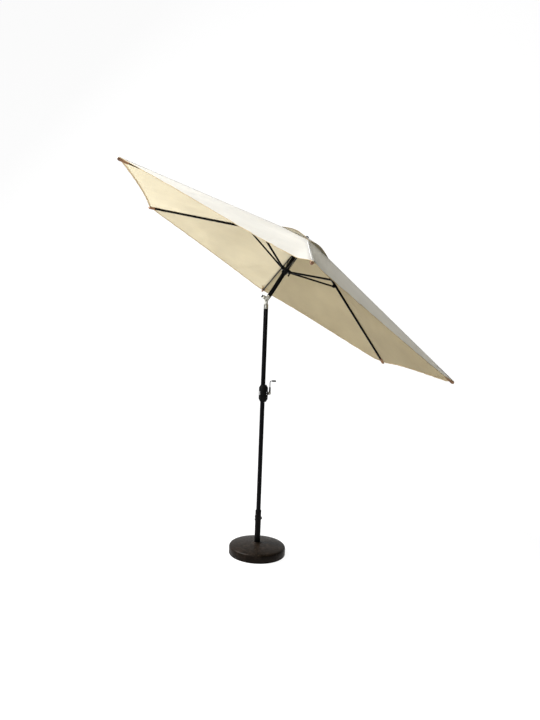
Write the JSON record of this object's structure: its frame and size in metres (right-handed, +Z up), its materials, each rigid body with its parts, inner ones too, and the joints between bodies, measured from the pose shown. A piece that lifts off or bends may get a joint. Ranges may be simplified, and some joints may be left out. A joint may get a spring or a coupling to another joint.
{
  "type": "patio umbrella with base",
  "caption": "Crank-up patio umbrella with a push-button tilt, hexagonal vented cloth canopy on steel ribs, and a round weighted base with a clamped tube",
  "frame": {"origin": "centre of the base underside, on the floor", "axes": "+Z up along the pole; +X the way the canopy tilts down; +Y completes a right-handed frame, away from the picture's camera"},
  "size_m": [2.124, 2.6824, 2.5703],
  "materials": {
    "bronze_paint": "satin",
    "black_paint": "satin",
    "cast_silver": "satin",
    "crank_steel": "satin",
    "black_plastic": "satin",
    "corner_leather": "matte",
    "concrete": "matte",
    "canopy_cloth": "matte",
    "cord_fibre": "matte"
  },
  "bodies": {
    "base": {"base_shell": "bronze_paint", "base_weight": "concrete", "base_plate": "black_plastic", "base_tube": "bronze_paint", "tube_bushing": "black_plastic"},
    "clamp": {"clamp_screw": "crank_steel", "clamp_knob": "black_plastic"},
    "pole": {"lower_pole": "black_paint", "middle_pole": "black_paint", "crank_housing_front": "black_plastic", "crank_housing_rear": "black_plastic", "housing_screw_1": "crank_steel", "housing_screw_2": "crank_steel", "crank_bearing": "crank_steel", "brake_spring": "crank_steel", "lift_cord_lower": "cord_fibre", "tilt_fork": "cast_silver", "tilt_pin": "crank_steel"},
    "crank": {"crank_shaft": "crank_steel", "cord_spool": "black_plastic", "crank_arm": "crank_steel"},
    "grip": {"crank_grip": "black_plastic"},
    "head": {"tilt_knuckle": "cast_silver", "button_spring": "crank_steel", "upper_pole": "black_paint", "crown_hub": "black_plastic", "crown_ring": "crank_steel", "pulley_pin": "crank_steel", "finial": "black_plastic", "vent_cap": "canopy_cloth", "lift_cord_upper": "cord_fibre", "lift_cord_drop": "cord_fibre"},
    "button": {"tilt_button": "black_plastic"},
    "pulley": {"pulley": "black_plastic"},
    "runner": {"runner": "black_plastic", "runner_ring": "crank_steel"},
    "rib_1": {"rib_1": "black_paint", "rib_cap_1": "corner_leather", "canopy_section_1": "canopy_cloth"},
    "strut_1": {"strut_1": "black_paint"},
    "rib_2": {"rib_2": "black_paint", "rib_cap_2": "corner_leather", "canopy_section_2": "canopy_cloth"},
    "strut_2": {"strut_2": "black_paint"},
    "rib_3": {"rib_3": "black_paint", "rib_cap_3": "corner_leather", "canopy_section_3": "canopy_cloth"},
    "strut_3": {"strut_3": "black_paint"},
    "rib_4": {"rib_4": "black_paint", "rib_cap_4": "corner_leather", "canopy_section_4": "canopy_cloth"},
    "strut_4": {"strut_4": "black_paint"},
    "rib_5": {"rib_5": "black_paint", "rib_cap_5": "corner_leather", "canopy_section_5": "canopy_cloth"},
    "strut_5": {"strut_5": "black_paint"},
    "rib_6": {"rib_6": "black_paint", "rib_cap_6": "corner_leather", "canopy_section_6": "canopy_cloth"},
    "strut_6": {"strut_6": "black_paint"}
  },
  "joints": [
    {"name": "pole_swivel", "type": "hinge", "parent": "base", "child": "pole", "pos_m": [0, 0, 0.3], "axis": [0, 0, 1], "continuous": true},
    {"name": "clamp_turn", "type": "hinge", "parent": "base", "child": "clamp", "pos_m": [0, 0.045, 0.235], "axis": [0, 1, 0], "range_deg": [-720, 0]},
    {"name": "runner_slide", "type": "slide", "parent": "head", "child": "runner", "axis": [-0.515, 0, -0.8572], "range_m": [0, 0.19], "deforming": ["lift_cord_drop", "canopy_section_1", "canopy_section_2", "canopy_section_3", "canopy_section_4", "canopy_section_5", "canopy_section_6"]},
    {"name": "crank_turn", "type": "hinge", "parent": "pole", "child": "crank", "pos_m": [0.049, 0, 1.141], "axis": [1, 0, 0], "range_deg": [-960, 0]},
    {"name": "grip_spin", "type": "hinge", "parent": "crank", "child": "grip", "pos_m": [0.076, 0, 1.229], "axis": [1, 0, 0], "continuous": true},
    {"name": "tilt", "type": "hinge", "parent": "pole", "child": "head", "pos_m": [0, 0, 1.795], "axis": [0, 1, 0], "range_deg": [-31, 0]},
    {"name": "button_press", "type": "slide", "parent": "head", "child": "button", "axis": [0.8572, 0, -0.515], "range_m": [0, 0.004], "stiffness_N_per_m": 900, "springref_m": -0.004, "deforming": ["button_spring"]},
    {"name": "pulley_turn", "type": "hinge", "parent": "head", "child": "pulley", "pos_m": [0.2436, 0, 2.18295], "axis": [0, 1, 0], "range_deg": [0, 1100]},
    {"name": "rib_hinge_1", "type": "hinge", "parent": "head", "child": "rib_1", "pos_m": [0.23929, -0.01763, 2.24037], "axis": [0.5038, -0.809, -0.3027], "range_deg": [0, 14.63]},
    {"name": "strut_hinge_1", "type": "hinge", "parent": "runner", "child": "strut_1", "pos_m": [0.10837, -0.01881, 2.02562], "axis": [0.5038, -0.809, -0.3027], "range_deg": [-14.42, 0]},
    {"name": "rib_hinge_2", "type": "hinge", "parent": "head", "child": "rib_2", "pos_m": [0.2366, 0.0122, 2.24199], "axis": [-0.3486, -0.9135, 0.2095], "range_deg": [0, 14.63]},
    {"name": "strut_hinge_2", "type": "hinge", "parent": "runner", "child": "strut_2", "pos_m": [0.1055, 0.01302, 2.02735], "axis": [-0.3486, -0.9135, 0.2095], "range_deg": [-14.42, 0]},
    {"name": "rib_hinge_3", "type": "hinge", "parent": "head", "child": "rib_3", "pos_m": [0.25741, 0.02984, 2.22948], "axis": [-0.8525, -0.1045, 0.5122], "range_deg": [0, 14.63]},
    {"name": "strut_hinge_3", "type": "hinge", "parent": "runner", "child": "strut_3", "pos_m": [0.1277, 0.03182, 2.01402], "axis": [-0.8525, -0.1045, 0.5122], "range_deg": [-14.42, 0]},
    {"name": "rib_hinge_4", "type": "hinge", "parent": "head", "child": "rib_4", "pos_m": [0.2809, 0.01763, 2.21537], "axis": [-0.5038, 0.809, 0.3027], "range_deg": [0, 14.63]},
    {"name": "strut_hinge_4", "type": "hinge", "parent": "runner", "child": "strut_4", "pos_m": [0.15275, 0.01881, 1.99896], "axis": [-0.5038, 0.809, 0.3027], "range_deg": [-14.42, 0]},
    {"name": "rib_hinge_5", "type": "hinge", "parent": "head", "child": "rib_5", "pos_m": [0.28359, -0.0122, 2.21375], "axis": [0.3486, 0.9135, -0.2095], "range_deg": [0, 14.63]},
    {"name": "strut_hinge_5", "type": "hinge", "parent": "runner", "child": "strut_5", "pos_m": [0.15562, -0.01302, 1.99724], "axis": [0.3486, 0.9135, -0.2095], "range_deg": [-14.42, 0]},
    {"name": "rib_hinge_6", "type": "hinge", "parent": "head", "child": "rib_6", "pos_m": [0.26278, -0.02984, 2.22625], "axis": [0.8525, 0.1045, -0.5122], "range_deg": [0, 14.63]},
    {"name": "strut_hinge_6", "type": "hinge", "parent": "runner", "child": "strut_6", "pos_m": [0.13343, -0.03182, 2.01057], "axis": [0.8525, 0.1045, -0.5122], "range_deg": [-14.42, 0]}
  ],
  "couplings": [
    {"joint": "crank_turn", "follows": "runner_slide", "rad_per_m": -86.957},
    {"joint": "pulley_turn", "follows": "runner_slide", "rad_per_m": 96.154},
    {"joint": "rib_hinge_1", "follows": "runner_slide", "rad_per_m": 1.2976},
    {"joint": "strut_hinge_1", "follows": "runner_slide", "rad_per_m": -1.2788},
    {"joint": "rib_hinge_2", "follows": "runner_slide", "rad_per_m": 1.2976},
    {"joint": "strut_hinge_2", "follows": "runner_slide", "rad_per_m": -1.2788},
    {"joint": "rib_hinge_3", "follows": "runner_slide", "rad_per_m": 1.2976},
    {"joint": "strut_hinge_3", "follows": "runner_slide", "rad_per_m": -1.2788},
    {"joint": "rib_hinge_4", "follows": "runner_slide", "rad_per_m": 1.2976},
    {"joint": "strut_hinge_4", "follows": "runner_slide", "rad_per_m": -1.2788},
    {"joint": "rib_hinge_5", "follows": "runner_slide", "rad_per_m": 1.2976},
    {"joint": "strut_hinge_5", "follows": "runner_slide", "rad_per_m": -1.2788},
    {"joint": "rib_hinge_6", "follows": "runner_slide", "rad_per_m": 1.2976},
    {"joint": "strut_hinge_6", "follows": "runner_slide", "rad_per_m": -1.2788}
  ]
}
